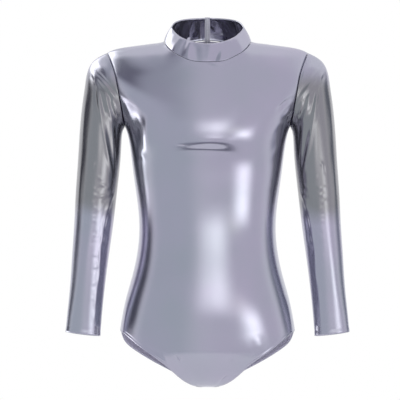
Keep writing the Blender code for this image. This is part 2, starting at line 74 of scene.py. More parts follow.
# %% Tables of the form
SECTION_POWER = 2.2
SHOULDER_DROP = 72.0
CROTCH_TOP, CROTCH_Z = -550.0, -657.0
SEAM = 0.2
BODY_CLOTH, COLLAR_CLOTH = 1.5, 2.4

# Height, half width, front depth, back depth
TORSO = (
    (50.0, 196.0, 42.0, 50.0), (8.0, 198.0, 49.0, 60.5), (-18.0, 199.0, 55.5, 69.0),
    (-40.0, 199.5, 64.0, 77.0), (-65.0, 199.0, 79.0, 86.0), (-95.0, 192.0, 96.0, 94.0),
    (-140.0, 168.0, 110.0, 98.0), (-163.0, 156.5, 114.0, 97.0), (-188.0, 149.5, 113.0, 94.0),
    (-225.0, 144.0, 101.0, 87.0), (-264.0, 139.0, 94.0, 79.0), (-310.0, 132.5, 88.0, 72.0),
    (-359.0, 129.5, 86.0, 71.0), (-400.0, 133.0, 90.0, 82.0), (-435.0, 140.0, 95.0, 95.0),
    (-485.0, 153.5, 100.0, 111.0), (-524.0, 162.0, 99.0, 116.0), (-549.0, 166.0, 96.0, 114.0),
    (-600.0, 168.0, 92.0, 108.0), (-657.0, 168.0, 90.0, 104.0),
)
# Distance from the middle, height
SHOULDER = ((0.0, 42.0), (30.0, 33.0), (60.0, 12.0), (83.0, -1.0), (105.0, -5.0), (128.0, -8.0),
            (160.0, -12.5), (180.0, -17.5), (191.0, -23.0), (202.0, -31.0))
NECK_POINT = 83.0
ARMHOLE = ((191.0, -23.0), (183.5, -40.0), (174.5, -64.0), (168.5, -91.0), (164.0, -116.0),
           (159.5, -143.0), (156.5, -163.0))
LEG_FRONT = ((166.0, -549.0), (159.0, -552.0), (146.0, -561.0), (128.0, -574.0), (102.0, -592.0),
             (76.0, -611.0), (50.0, -636.0), (30.0, -650.0), (15.0, -657.0))
LEG_BACK = ((166.0, -549.0), (164.0, -561.0), (158.0, -576.0), (147.0, -588.0), (130.0, -601.0),
            (112.0, -612.5), (88.0, -625.5), (64.0, -637.0), (45.0, -646.0), (30.0, -652.5), (15.0, -657.0))
# Half width, front depth, back depth, then the top's heights at the front, side and back
NECKLINE = (83.0, 67.0, 56.0)
NECK_POWER = 2.6
COLLAR_TOP = (68.0, 47.0, 45.0, -9.0, 28.0, 49.0)
# Outer point across and up, inner point across and up, half depth, bow towards the neck
SLEEVE = (
    (191.0, -23.0, 156.5, -163.0, 46.0, 4.0), (203.0, -29.0, 157.2, -164.5, 46.5, 9.0),
    (214.0, -36.5, 158.0, -166.2, 47.5, 13.0), (222.5, -47.0, 159.0, -168.0, 49.0, 13.0),
    (228.5, -63.0, 160.0, -170.5, 50.5, 9.0), (232.5, -88.0, 161.0, -175.0, 51.5, 5.0),
    (237.0, -120.0, 162.0, -183.0, 52.0, 2.0), (241.5, -165.0, 162.8, -196.0, 51.0, 0.0),
    (245.0, -220.0, 164.8, -228.0, 49.0, 0.0), (249.5, -285.0, 171.0, -285.0, 44.0, 0.0),
    (252.5, -345.0, 178.0, -345.0, 38.5, 0.0), (256.5, -405.0, 186.3, -405.0, 34.0, 0.0),
    (260.5, -465.0, 194.2, -466.0, 29.0, 0.0), (265.5, -515.0, 199.5, -517.0, 24.5, 0.0),
    (269.0, -552.0, 203.0, -560.0, 21.5, 0.0),
)
YOKE_END, YOKE_SAG, LEG_LIFT = 0.6, 26.0, 88.0
print("sections through the body:", len(TORSO), "sleeve rings:", len(SLEEVE))

# %% [markdown]
# ## Smooth curves through the tables
# Foil shows every flat spot, so the sections are joined by natural cubic curves, whose bend has no
# jumps. The depth at a point is the section's depth, made less towards its sides, its shoulder line
# and the crotch.

# %% Curves and the form
def curve_through(xs, ys, x):
    xs, ys = np.asarray(xs, float), np.asarray(ys, float)
    h = np.diff(xs)
    count = len(xs)
    m, r = np.zeros((count, count)), np.zeros(count)
    m[0, 0] = m[-1, -1] = 1.0
    for i in range(1, count - 1):
        m[i, i - 1:i + 2] = h[i - 1], 2 * (h[i - 1] + h[i]), h[i]
        r[i] = 6 * ((ys[i + 1] - ys[i]) / h[i] - (ys[i] - ys[i - 1]) / h[i - 1])
    k = np.linalg.solve(m, r)
    x = np.clip(np.asarray(x, float), xs[0], xs[-1])
    i = np.clip(np.searchsorted(xs, x, side="right") - 1, 0, count - 2)
    a, b = xs[i + 1] - x, x - xs[i]
    return ((k[i] * a ** 3 + k[i + 1] * b ** 3) / (6 * h[i])
            + (ys[i] / h[i] - k[i] * h[i] / 6) * a + (ys[i + 1] / h[i] - k[i + 1] * h[i] / 6) * b)


SECTIONS = np.array(TORSO[::-1]).T


def half_width(z):
    return curve_through(SECTIONS[0], SECTIONS[1], z)


def depth(z, side):
    return curve_through(SECTIONS[0], SECTIONS[2 if side < 0 else 3], z)


def shoulder_height(x):
    table = np.array(SHOULDER).T
    return curve_through(table[0], table[1], np.abs(x))


def fullness(x, z):
    across = np.clip(np.abs(x) / half_width(z), 0.0, 1.0)
    drop = np.clip((shoulder_height(x) - z) / SHOULDER_DROP, 0.0, 1.0)
    under = np.clip((CROTCH_TOP - z) / (CROTCH_TOP - CROTCH_Z), 0.0, 1.0)
    return ((1 - across ** SECTION_POWER) ** (1 / SECTION_POWER)
            * np.sqrt(1 - (1 - drop) ** 2.6) * np.sqrt(1 - under ** 2.4))


def on_body(x, z, side):
    return np.stack(np.broadcast_arrays(x, side * (SEAM + depth(z, side) * fullness(x, z)), z), axis=-1)


def unit(v):
    return v / np.maximum(np.linalg.norm(v, axis=-1, keepdims=True), 1e-9)


def line_at(table, t):
    points = np.array(table)
    run = np.concatenate(([0], np.cumsum(np.hypot(*np.diff(points, axis=0).T))))
    return curve_through(run, points[:, 0], t * run[-1]), curve_through(run, points[:, 1], t * run[-1])


print("waist", round(float(2 * half_width(-359.0))), "mm across")

# %% [markdown]
# ## The camera
# The photograph is a level view of the whole front from about three metres, with a long lens, so the
# sleeves and body show almost no perspective. The frame takes in 760 mm, 1.9 mm to a picture element.

# %% Camera
bpy.ops.object.camera_add(location=(-0.01425, -3.0, -0.302), rotation=(math.radians(90), 0, 0))
camera = bpy.context.object
camera.name = "front_camera"
camera.data.sensor_width = 36.0
camera.data.lens = 36.0 * 3.0 / 0.76
camera.data.clip_end = 30.0
bpy.context.scene.camera = camera
print("lens", round(camera.data.lens, 1), "mm")

# %% [markdown]
# ## Grids of cloth
# Each panel is a grid from Blender's own grid primitive, whose points are then laid on the form row by
# row. The grid keeps the flat UV map that the primitive gives it, so the knit can follow the cloth.
# Solidify then gives the sheet its thickness inwards, with a second material for the wrong side.

# %% A sheet on the form
def deselect_all():
    if bpy.context.object and bpy.context.object.mode != "OBJECT":
        bpy.ops.object.mode_set(mode="OBJECT")
    bpy.ops.object.select_all(action="DESELECT")


def lay_grid(name, points):
    """A grid primitive with its points moved to the given rows and columns of points, in mm."""
    deselect_all()
    rows, columns = points.shape[:2]
    bpy.ops.mesh.primitive_grid_add(x_subdivisions=columns - 1, y_subdivisions=rows - 1, size=1.0)
    sheet = bpy.context.object
    sheet.name = name
    sheet.data.name = name
    flat = points[::-1].reshape(-1, 3) * MM
    sheet.data.vertices.foreach_set("co", flat.astype(np.float32).ravel())
    sheet.data.update()
    return sheet


def face_out(sheet, inside):
    """Turns a sheet so that its faces look away from a point inside the garment."""
    mesh = bmesh.new()
    mesh.from_mesh(sheet.data)
    vote = sum(f.normal.dot(f.calc_center_median() - Vector(inside)) * f.calc_area() for f in mesh.faces)
    if vote < 0:
        bmesh.ops.reverse_faces(mesh, faces=mesh.faces)
    mesh.to_mesh(sheet.data)
    mesh.free()


def thicken(sheet, cloth, right_side, inner_side):
    deselect_all()
    sheet.select_set(True)
    bpy.context.view_layer.objects.active = sheet
    sheet.data.materials.clear()
    sheet.data.materials.append(right_side)
    sheet.data.materials.append(inner_side)
    wall = sheet.modifiers.new("wall", "SOLIDIFY")
    wall.thickness = cloth * MM
    wall.offset = -1.0
    wall.material_offset = 1
    wall.material_offset_rim = 0
    bpy.ops.object.modifier_apply(modifier=wall.name)
    bpy.ops.object.shade_smooth()


def area_of(sheet):
    return sum(p.area for p in sheet.data.polygons)


# %% [markdown]
# ## How the panels' rows run
# A panel's rows start at its neckline and shoulder seam, follow the armhole and the side seam at their
# ends, and fan round the leg opening to the short crotch seam.

# %% Rows of a panel
def neck_line(angle):
    width, front, back = NECKLINE
    angle = np.atleast_1d(np.asarray(angle, float))
    ahead = np.cos(angle) > 1e-6
    x = width * np.sin(angle)
    reach = ((1 - np.abs(np.sin(angle)) ** NECK_POWER).clip(0, 1) ** (1 / NECK_POWER)
             * np.where(ahead, front, back))
    low, high = np.full(x.shape, -90.0), shoulder_height(x)
    for _ in range(40):
        z = (low + high) / 2
        whole = np.where(ahead, depth(z, -1), depth(z, 1)) * fullness(x, z)
        low, high = np.where(whole > reach, z, low), np.where(whole > reach, high, z)
    return x, np.where(ahead, -1.0, 1.0) * (SEAM + reach), z


def armhole(t):
    return line_at(ARMHOLE, (1 - np.cos(math.pi * t)) / 2)


def leg_line(side, t):
    x, z = line_at(LEG_FRONT if side < 0 else LEG_BACK, np.linspace(0, 1, 400))
    x = np.minimum(x, half_width(z))
    steps = np.linalg.norm(np.diff(on_body(x, z, side), axis=0), axis=1)
    run = np.concatenate(([0], np.cumsum(steps)))
    return np.interp(t * run[-1], run, x), np.interp(t * run[-1], run, z)


def top_edge(u, side):
    angle = np.clip(u / 0.5, 0, 1) * math.pi / 2
    nx, _, nz = neck_line(angle if side < 0 else math.pi - angle)
    out = np.clip((u - 0.5) / 0.5, 0, 1)
    sx = NECK_POINT + (ARMHOLE[0][0] - NECK_POINT) * out
    return np.where(u <= 0.5, nx, sx), np.where(u <= 0.5, nz, shoulder_height(sx))


def row(u, edge_x, edge_z, middle_z, lift=0.0):
    z = middle_z + (edge_z - middle_z) * u ** 2 + lift * u ** 2 * (1 - u)
    reach = math.asin(min(1.0, float(edge_x / half_width(edge_z))))
    return half_width(z) * np.sin(reach * u), z


def panel_rows(u, side, counts):
    yoke, low_armhole, side_seam, leg = counts
    rows = []
    end_x, end_z = armhole(YOKE_END)
    low = row(u, end_x, end_z, end_z - YOKE_SAG)
    top = top_edge(u, side)
    for v in np.arange(yoke) / yoke:
        w = v ** 1.35
        x, z = (1 - w) * top[0] + w * low[0], (1 - w) * top[1] + w * low[1]
        edge_x, edge_z = armhole(YOKE_END * v)
        rows.append((x + u ** 3 * (edge_x - x[-1]), z + u ** 3 * (edge_z - z[-1])))
    for t in YOKE_END + (1 - YOKE_END) * np.arange(low_armhole) / low_armhole:
        edge_x, edge_z = armhole(t)
        rows.append(row(u, edge_x, edge_z, edge_z - YOKE_SAG))
    armpit, hip = ARMHOLE[-1][1], LEG_FRONT[0][1]
    for t in np.arange(side_seam) / side_seam:
        z = armpit + (hip - armpit) * t
        rows.append(row(u, float(half_width(z)), z, z - YOKE_SAG * (1 - t) ** 2, LEG_LIFT * t ** 4))
    for t in np.arange(leg + 1) / leg:
        edge_x, edge_z = leg_line(side, t)
        middle = hip + (CROTCH_Z - hip) * math.sin(math.pi / 2 * t ** 0.95)
        rows.append(row(u, edge_x, edge_z, middle, LEG_LIFT * (1 - t)))
    return rows


# Rows beside the yoke, the lower armhole, the side seam and the leg opening, then columns in a half
FINE_ROWS = (34, 26, 100, 90)
FINE_ACROSS = 56


def half_panel(side):
    u = np.linspace(0, 1, FINE_ACROSS + 1)
    return np.array([on_body(x, z, side) for x, z in panel_rows(u, side, FINE_ROWS)])


def mirrored(points):
    return points * np.array([-1.0, 1.0, 1.0])


print("rows in a panel:", sum(FINE_ROWS) + 1)

# %% [markdown]
# ## Creases
# The body is pulled smooth, so its creases are few and shallow: drag lines from the armpits, a soft
# hollow under the bust, and small gathers where the leg elastics pull at the crotch. Each crease is a
# short line on the panel with a height and a width, and the cloth's points move out or in along the
# surface's normal. Heights differ from one to the next, because no two creases are alike.

# %% Crease tables
# Start across and up, end across and up, height (a trough is negative), half width, bend. Millimetres.
FRONT_CREASES = (
    (-74.0, -212.0, 56.0, -214.0, -2.2, 8.0, 2.0),
    (-30.0, -196.0, 54.0, -197.0, 1.3, 8.0, 2.0),
    (-66.0, -197.0, -40.0, -199.0, 0.8, 2.4, -0.8),
    (-70.0, -202.0, -36.0, -204.0, -0.6, 2.2, -0.6),
    (-106.0, -132.0, -114.0, -216.0, 2.6, 11.0, -2.0),
    (-142.0, -126.0, -132.0, -214.0, -2.6, 10.0, 2.0),
    (-165.0, -104.0, -116.0, -142.0, 1.4, 5.0, 5.0),
    (-134.0, -212.0, -112.0, -226.0, 0.9, 5.0, 0.0),
    (162.0, -103.0, 128.0, -128.0, 1.4, 3.4, -3.0),
    (158.0, -112.0, 126.0, -140.0, -1.5, 4.0, -3.0),
    (156.0, -128.0, 140.0, -150.0, 0.9, 3.0, 1.0),
    (154.0, -140.0, 134.0, -158.0, -0.8, 3.0, 1.0),
    (146.0, -150.0, 118.0, -180.0, 0.7, 6.0, -3.0),
    (138.0, -184.0, 118.0, -226.0, 0.8, 6.0, 3.0),
    (-160.0, -120.0, -150.0, -146.0, -0.9, 3.0, 0.0),
    (2.0, -46.0, 44.0, -52.0, 1.3, 2.2, -4.0),
    (0.0, -54.0, 42.0, -57.0, -0.8, 2.2, -3.0),
    (84.0, -12.0, 188.0, -31.0, 0.4, 1.6, 4.0),
    (-84.0, -12.0, -188.0, -31.0, 0.4, 1.6, -4.0),
    (-56.0, -592.0, -50.0, -614.0, 1.3, 2.2, 1.0),
    (-61.0, -592.0, -55.0, -614.0, -1.0, 2.2, 1.0),
    (-54.0, -612.0, -28.0, -650.0, 1.0, 2.0, 2.0),
    (-48.0, -614.0, -22.0, -652.0, -0.9, 2.0, 2.0),
    (-36.0, -606.0, -17.0, -648.0, 0.7, 2.0, 2.0),
    (-25.0, -604.0, -12.0, -640.0, -0.5, 2.4, 1.0),
    (44.0, -594.0, 40.0, -616.0, 1.1, 2.2, -1.0),
    (50.0, -596.0, 46.0, -616.0, -0.9, 2.2, -1.0),
    (48.0, -622.0, 18.0, -652.0, -1.4, 1.8, -3.0),
    (44.0, -616.0, 14.0, -648.0, 1.0, 2.2, -3.0),
    (36.0, -606.0, 16.0, -640.0, 0.6, 2.4, -2.0),
    (-104.0, -584.0, -70.0, -614.0, 1.3, 5.0, 1.0),
    (-122.0, -568.0, -92.0, -590.0, -0.7, 5.0, 1.0),
    (88.0, -548.0, 96.0, -584.0, 0.8, 9.0, 2.0),
    (150.0, -470.0, 158.0, -552.0, 0.6, 5.0, 0.0),
    (-150.0, -470.0, -158.0, -552.0, 0.6, 5.0, 0.0),
)
BACK_CREASES = (
    (162.0, -116.0, 108.0, -176.0, 1.2, 6.0, 5.0),
    (158.0, -136.0, 96.0, -206.0, -1.0, 6.0, 4.0),
    (150.0, -168.0, 100.0, -226.0, 0.9, 6.0, 3.0),
    (8.0, -338.0, 104.0, -322.0, 1.0, 6.0, 3.0),
    (8.0, -352.0, 96.0, -346.0, -0.9, 5.0, 2.0),
    (8.0, -366.0, 108.0, -372.0, 0.8, 6.0, -2.0),
    (8.0, -120.0, 9.0, -300.0, -0.5, 4.0, 0.0),
    (84.0, -11.0, 190.0, -33.0, 0.45, 1.8, 4.0),
    (56.0, -600.0, 24.0, -648.0, 0.9, 3.0, -3.0),
    (64.0, -604.0, 40.0, -638.0, -0.7, 3.0, -2.0),
    (20.0, -590.0, 14.0, -646.0, 0.6, 3.0, 0.0),
    (6.0, -560.0, 7.0, -640.0, -0.9, 4.0, 0.0),
)


# How far the cloth rolls in at its seams and how wide the roll is, then the leg casing: its width, the
# height and pitch of its gathers, and the depth, place and width of the groove that closes it
ARMHOLE_ROLL, SEAM_ROLL, ROLL_WIDTH = 0.3, 0.35, 2.2
CASING_WIDTH, GATHER_HEIGHT, GATHER_PITCH = 9.0, 0.30, 6.5
CASING_GROOVE, GROOVE_PLACE, GROOVE_WIDTH = 0.45, 10.5, 1.6


def crease_height(x, z, table):
    lift = np.zeros(np.shape(x))
    for x0, z0, x1, z1, height, spread, bend in table:
        run = np.array([x1 - x0, z1 - z0])
        length = np.hypot(*run)
        along = ((x - x0) * run[0] + (z - z0) * run[1]) / length ** 2
        off = ((x - x0) * -run[1] + (z - z0) * run[0]) / length
        off = off - bend * np.sin(math.pi * np.clip(along, 0, 1))
        ends = np.clip(1.15 - np.abs(along - 0.5) * 2, 0, 1)
        ends = ends * ends * (3 - 2 * ends)
        lift += height * ends * np.exp(-(off / spread) ** 2)
    return lift


def grid_normals(grid, wrap=False):
    if wrap:
        wide = np.concatenate([grid[:, -3:-1], grid, grid[:, 1:3]], axis=1)
        along = np.gradient(wide, axis=1)[:, 2:-2]
    else:
        along = np.gradient(grid, axis=1)
    return unit(np.cross(along, np.gradient(grid, axis=0)))


def crease(grid, table, side):
    n = grid_normals(grid)
    n = n if np.sum(n[..., 1]) * side > 0 else -n
    lift = crease_height(grid[..., 0], grid[..., 2], table)
    reach = np.linalg.norm(grid - grid[:, -1:], axis=-1)
    if side < 0:
        reach = np.minimum(reach, np.linalg.norm(grid - grid[:, :1], axis=-1))
    down = np.arange(len(grid))
    legs = down >= sum(FINE_ROWS[:3])
    run = np.concatenate(([0], np.cumsum(np.linalg.norm(np.diff(grid[:, -1], axis=0), axis=1))))
    casing = np.clip(1.25 - reach / CASING_WIDTH, 0, 1) * legs[:, None]
    lift += GATHER_HEIGHT * casing * np.sin(run * 2 * math.pi / GATHER_PITCH)[:, None]
    lift -= CASING_GROOVE * np.exp(-((reach - GROOVE_PLACE) / GROOVE_WIDTH) ** 2) * legs[:, None]
    armhole_rows = (down < FINE_ROWS[0] + FINE_ROWS[1])[:, None]
    lift -= ARMHOLE_ROLL * np.exp(-(reach / ROLL_WIDTH) ** 2) * armhole_rows
    lift -= SEAM_ROLL * np.exp(-(reach / ROLL_WIDTH) ** 2) * ~armhole_rows
    keep = np.ones(grid.shape[:2])
    keep[0] = keep[-1] = 0.0
    if side > 0:
        keep[:, 0] = 0.3
    return grid + n * (lift * keep)[..., None]


print("front creases:", len(FRONT_CREASES), "back creases:", len(BACK_CREASES))

# %% [markdown]
# ## Sockets as numbers
# A material is a small sum: so much sheen here, a little darker there. This class lets a node's socket
# be added, multiplied and mixed like a number in Python, and one method makes every other node.

# %% Shader maths
class Wire:
    """One output of a node, which works in Python sums."""

    def __init__(self, bench, socket):
        self.bench, self.socket = bench, socket

    def _sum(self, kind, *terms):
        return self.bench.node("ShaderNodeMath", {"operation": kind}, dict(enumerate(terms)))

    def __add__(self, other):
        return self._sum("ADD", self, other)

    def __sub__(self, other):
        return self._sum("SUBTRACT", self, other)

    def __rsub__(self, other):
        return self._sum("SUBTRACT", other, self)

    def __mul__(self, other):
        return self._sum("MULTIPLY", self, other)

    def __truediv__(self, other):
        return self._sum("DIVIDE", self, other)

    def __pow__(self, other):
        return self._sum("POWER", self, other)

    __radd__ = __add__
    __rmul__ = __mul__


class Bench:
    """The node tree of a material or of the world, and the one way its nodes are made."""

    def __init__(self, owner):
        owner.use_nodes = True
        self.tree = owner.node_tree

    def node(self, kind, settings=None, values=None, out=0):
        made = self.tree.nodes.new(kind)
        for name, value in (settings or {}).items():
            if name == "stops":
                ramp = made.color_ramp
                while len(ramp.elements) > len(value):
                    ramp.elements.remove(ramp.elements[-1])
                while len(ramp.elements) < len(value):
                    ramp.elements.new(1.0)
                for element, (place, colour) in zip(ramp.elements, value):
                    element.position, element.color = place, colour
            elif name == "interpolation":
                made.color_ramp.interpolation = value
            else:
                setattr(made, name, value)
        for name, value in (values or {}).items():
            if isinstance(value, Wire):
                self.tree.links.new(value.socket, made.inputs[name])
            elif value is not None:
                made.inputs[name].default_value = value
        return Wire(self, made.outputs[out])

    def mix(self, share, one, other):
        return self.node("ShaderNodeMix", {"data_type": "RGBA"}, {0: share, 6: one, 7: other}, 2)

    def shader(self, values):
        bsdf = self.tree.nodes["Principled BSDF"]
        for name, value in values.items():
            if isinstance(value, Wire):
                self.tree.links.new(value.socket, bsdf.inputs[name])
            else:
                bsdf.inputs[name].default_value = value


def new_material(name):
    material = bpy.data.materials.new(name)
    return material, Bench(material)


# %% [markdown]
# ## Foil on knit
# The cloth is a warm lilac-silver foil pressed on a fine knit. From a distance it is a soft mirror; close
# up the knit's columns break the foil into tiny ridges, and the foil is a little duller where it has
# rubbed. So the colour is metallic, with a fine rib in the bump and slow changes in the roughness. On
# the sleeves a band of the upper arm is made darker in colour, which is painted shade.

# %% Cloth materials
def foil_knit(name, columns, rows, polish=0.11, crinkle_and_painted_shade=0.0):
    material, bench = new_material(name)
    uv = bench.node("ShaderNodeUVMap")
    stretched = bench.node("ShaderNodeMapping", {}, {"Vector": uv, "Scale": (columns, rows, 1.0)})
    place = bench.node("ShaderNodeTexCoord", {}, {}, 3)
    rubbed = bench.node("ShaderNodeTexNoise", {}, {"Vector": place, "Scale": 9.0, "Detail": 3.0})
    mottle = bench.node("ShaderNodeTexNoise", {}, {"Vector": place, "Scale": 60.0, "Detail": 4.0})
    speck = bench.node("ShaderNodeTexNoise", {}, {"Vector": place, "Scale": 900.0, "Detail": 1.0})
    wales = bench.node("ShaderNodeTexWave", {"bands_direction": "X"},
                       {"Vector": stretched, "Scale": 0.5, "Distortion": 0.6, "Detail": 1.0})
    wear = bench.node("ShaderNodeMapRange", {}, {0: rubbed, 1: 0.35, 2: 0.7})
    tint = bench.mix(wear, (0.435, 0.445, 0.52, 1), (0.465, 0.445, 0.55, 1))
    flecks = bench.node("ShaderNodeMapRange", {}, {0: speck, 1: 0.55, 2: 0.8, 4: 0.12})
    tint = bench.mix(flecks, tint, (0.62, 0.61, 0.70, 1))
    relief = wales * 0.25 + mottle * 0.75
    strength = 0.10
    if crinkle_and_painted_shade:
        # Painted shade: a band of each sleeve's upper arm, between about 75 mm and 325 mm below the neck and
        # with ragged edges, is given a darker colour in place of the shade and darker reflection there. The
        # ridged noise below only adds small creases to the bump.
        up = bench.node("ShaderNodeSeparateXYZ", {}, {0: place}, 2)
        ragged = up + (rubbed - 0.5) * 0.06
        upper_sleeve_painted_shade = (bench.node("ShaderNodeMapRange", {"interpolation_type": "SMOOTHSTEP"},
                            {0: ragged, 1: -0.345, 2: -0.305})
                 * (1.0 - bench.node("ShaderNodeMapRange", {"interpolation_type": "SMOOTHSTEP"},
                                     {0: ragged, 1: -0.10, 2: -0.05})))
        tint = bench.mix(upper_sleeve_painted_shade, tint, (0.30, 0.30, 0.315, 1))
        pinch = bench.node("ShaderNodeTexNoise", {"noise_type": "RIDGED_MULTIFRACTAL"},
                           {"Vector": place, "Scale": 70.0, "Detail": 2.0})
        relief = relief + pinch * crinkle_and_painted_shade
        strength = 0.16
    bump = bench.node("ShaderNodeBump", {}, {"Strength": strength, "Distance": 0.0004, "Height": relief})
    bench.shader({"Base Color": tint, "Metallic": 0.95, "Roughness": polish + wear * 0.04 + mottle * 0.06,
                  "Normal": bump, "Specular IOR Level": 0.5})
    return material


def matte_back(name):
    material, bench = new_material(name)
    place = bench.node("ShaderNodeTexCoord", {}, {}, 3)
    fuzz = bench.node("ShaderNodeTexNoise", {}, {"Vector": place, "Scale": 420.0, "Detail": 3.0})
    ribs = bench.node("ShaderNodeTexWave", {"bands_direction": "Z"}, {"Vector": place, "Scale": 260.0})
    tint = bench.mix(fuzz, (0.50, 0.48, 0.60, 1), (0.62, 0.60, 0.73, 1))
    bump = bench.node("ShaderNodeBump", {}, {"Strength": 0.3, "Distance": 0.0004,
                                             "Height": fuzz * 0.6 + ribs * 0.4})
    bench.shader({"Base Color": tint, "Metallic": 0.0, "Roughness": 0.8, "Normal": bump})
    return material


body_foil = foil_knit("body foil", 260.0, 480.0)
# The last argument turns on the sleeves' small bump creases and their painted shade band on the upper arm.
sleeve_foil = foil_knit("sleeve foil", 220.0, 420.0, 0.14, 0.5)
collar_foil = foil_knit("collar foil", 300.0, 60.0, 0.07)
wrong_side = matte_back("wrong side of the cloth")
print("cloth materials:", body_foil.name, sleeve_foil.name, collar_foil.name, wrong_side.name)

# %% [markdown]
# ## Front and backs
# The front is one piece, so its half is mirrored over to the other side in the same grid. The two
# backs stop at the centre back, where the zip holds them together.

# %% Panels
def finish_panel(name, points, cloth, foil, node, area):
    sheet = lay_grid(name, points)
    face_out(sheet, (0.0, 0.0, -0.3))
    one_side = area_of(sheet)
    thicken(sheet, cloth, foil, wrong_side)
    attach(sheet, GARMENT)
    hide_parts(node)
    print(name, "area", round(one_side, 4), "of", area)


front_half = half_panel(-1)
front_points = np.concatenate([mirrored(front_half)[:, :0:-1], front_half], axis=1)
front_points = crease(front_points, FRONT_CREASES, -1)
finish_panel("front_cloth", front_points, BODY_CLOTH, body_foil, "front", 0.225)

back_half = half_panel(1)
back_half[:, 0, 0] = SEAM
back_half = crease(back_half, BACK_CREASES, 1)
finish_panel("back_left_cloth", back_half, BODY_CLOTH, body_foil, "back_left", 0.12)
finish_panel("back_right_cloth", mirrored(back_half), BODY_CLOTH, body_foil, "back_right", 0.12)

# %% [markdown]
# ## Sleeves
# The cap of each sleeve is held out by the shoulder as far as a fold that runs from its tip down to the
# armpit, and below that the sleeve hangs empty. So the rings start at the armhole, tilt over the cap,
# and lie level down the arm. Long soft folds fan down from the tip, with small ones at the elbow.

# %% Sleeve form and folds
# Angle round the sleeve at the top and the bottom (0 outside, 90 front, 180 inside), height of the two
# ends, height of the ridge, half width in degrees
LONG_FOLDS = (
    (62.0, 118.0, -70.0, -300.0, 1.2, 17.0), (100.0, 140.0, -110.0, -330.0, 1.6, 14.0),
    (215.0, 250.0, -90.0, -320.0, 2.4, 18.0), (285.0, 300.0, -70.0, -300.0, 2.4, 18.0),
    (88.0, 60.0, -290.0, -520.0, 1.0, 20.0), (262.0, 285.0, -300.0, -510.0, 1.8, 20.0),
)
# Seen from in front or behind: start out and up, end out and up, height, half width, bend
SLEEVE_FRONT = (
    (217.0, -52.0, 164.0, -112.0, -1.7, 2.4, -2.0),
    (221.0, -58.0, 168.0, -118.0, 1.5, 2.2, -2.0),
    (223.0, -66.0, 170.0, -126.0, -1.2, 2.4, -2.0),
    (212.0, -36.0, 176.0, -88.0, 2.2, 10.0, -2.0),
    (216.0, -62.0, 205.0, -92.0, 1.6, 2.6, 0.5),
    (206.0, -84.0, 197.0, -160.0, 1.9, 2.6, 0.8),
    (197.0, -152.0, 178.0, -262.0, 1.8, 2.6, 1.5),
    (211.0, -88.0, 203.0, -160.0, -0.9, 3.0, 0.8),
    (202.0, -88.0, 190.0, -150.0, -1.7, 3.4, 0.8),
    (190.0, -146.0, 176.0, -240.0, -1.4, 3.4, 1.0),
    (193.0, -90.0, 178.0, -156.0, 1.6, 2.4, 1.6),
    (178.5, -148.0, 174.0, -256.0, 1.7, 2.4, 0.6),
    (184.0, -104.0, 172.0, -150.0, -1.2, 2.2, 1.0),
    (172.0, -146.0, 170.0, -236.0, -1.3, 2.4, 0.4),
    (178.0, -108.0, 169.0, -148.0, 0.9, 2.0, 1.0),
    (229.0, -92.0, 236.0, -210.0, 0.8, 4.0, 0.0),
    (236.0, -204.0, 243.0, -330.0, 0.7, 4.0, 0.0),
    (211.0, -227.0, 218.0, -250.0, 0.7, 1.8, 0.4),
    (215.0, -233.0, 220.0, -255.0, -0.5, 2.0, 0.4),
    (219.0, -237.0, 210.0, -233.0, 0.6, 1.6, 0.0),
    (207.0, -257.0, 194.0, -265.0, 0.6, 2.0, 0.6),
    (203.0, -272.0, 188.0, -278.0, 0.8, 2.0, -0.6),
    (223.0, -276.0, 207.0, -283.0, 0.6, 2.0, 0.5),
    (220.0, -289.0, 205.0, -295.0, 0.7, 2.2, 0.8),
    (205.0, -296.0, 188.0, -291.0, 0.9, 2.2, 0.8),
    (201.0, -308.0, 186.0, -298.0, -0.8, 2.0, 0.5),
    (208.0, -283.0, 195.0, -276.0, -0.7, 2.0, 0.4),
    (227.0, -300.0, 212.0, -308.0, 0.5, 2.2, 0.6),
    (216.0, -315.0, 199.0, -321.0, 0.5, 2.2, 0.7),
    (194.0, -283.0, 180.0, -272.0, 0.9, 2.5, 0.5),
    (188.0, -295.0, 177.0, -280.0, 0.8, 2.0, 0.4),
    (174.0, -286.0, 185.0, -308.0, 1.6, 3.0, 0.5),
    (184.0, -304.0, 191.0, -326.0, 2.0, 3.0, -0.5),
    (189.0, -322.0, 197.0, -363.0, 1.7, 2.8, 0.8),
    (197.0, -358.0, 201.0, -390.0, 1.5, 2.6, -0.5),
    (201.0, -382.0, 203.0, -435.0, 1.3, 2.5, 0.6),
    (203.0, -427.0, 207.0, -466.0, 1.1, 2.6, -0.4),
    (207.0, -459.0, 213.0, -515.0, 0.9, 3.2, 0.5),
    (212.0, -508.0, 215.0, -534.0, 0.6, 3.5, 0.0),
    (184.0, -326.0, 191.0, -369.0, -1.5, 3.4, 0.6),
    (189.0, -362.0, 194.0, -390.0, -1.5, 3.2, 0.0),
    (194.0, -386.0, 198.0, -442.0, -0.8, 4.0, 0.0),
    (198.0, -433.0, 206.0, -511.0, -0.7, 4.0, 0.0),
    (196.0, -520.0, 206.0, -538.0, -0.6, 3.0, 0.0),
    (201.0, -329.0, 222.0, -328.0, -0.35, 1.5, 0.4),
    (203.0, -340.0, 220.0, -341.0, 0.40, 1.5, -0.5),
    (206.0, -364.0, 217.0, -363.0, -0.45, 1.6, 0.6),
    (201.0, -368.0, 215.0, -369.0, 0.35, 1.5, 0.3),
    (203.0, -384.0, 222.0, -382.0, -0.35, 1.5, 0.7),
    (206.0, -404.0, 220.0, -405.0, 0.40, 1.6, -0.4),
    (204.0, -413.0, 217.0, -412.0, -0.40, 1.5, 0.5),
    (205.0, -428.0, 215.0, -429.0, 0.40, 1.5, 0.3),
    (206.0, -436.0, 222.0, -435.0, -0.35, 1.6, 0.6),
    (208.0, -458.0, 222.0, -459.0, 0.35, 1.5, -0.5),
    (209.0, -466.0, 220.0, -465.0, -0.35, 1.5, 0.4),
    (212.0, -488.0, 226.0, -489.0, 0.30, 1.6, 0.4),
)
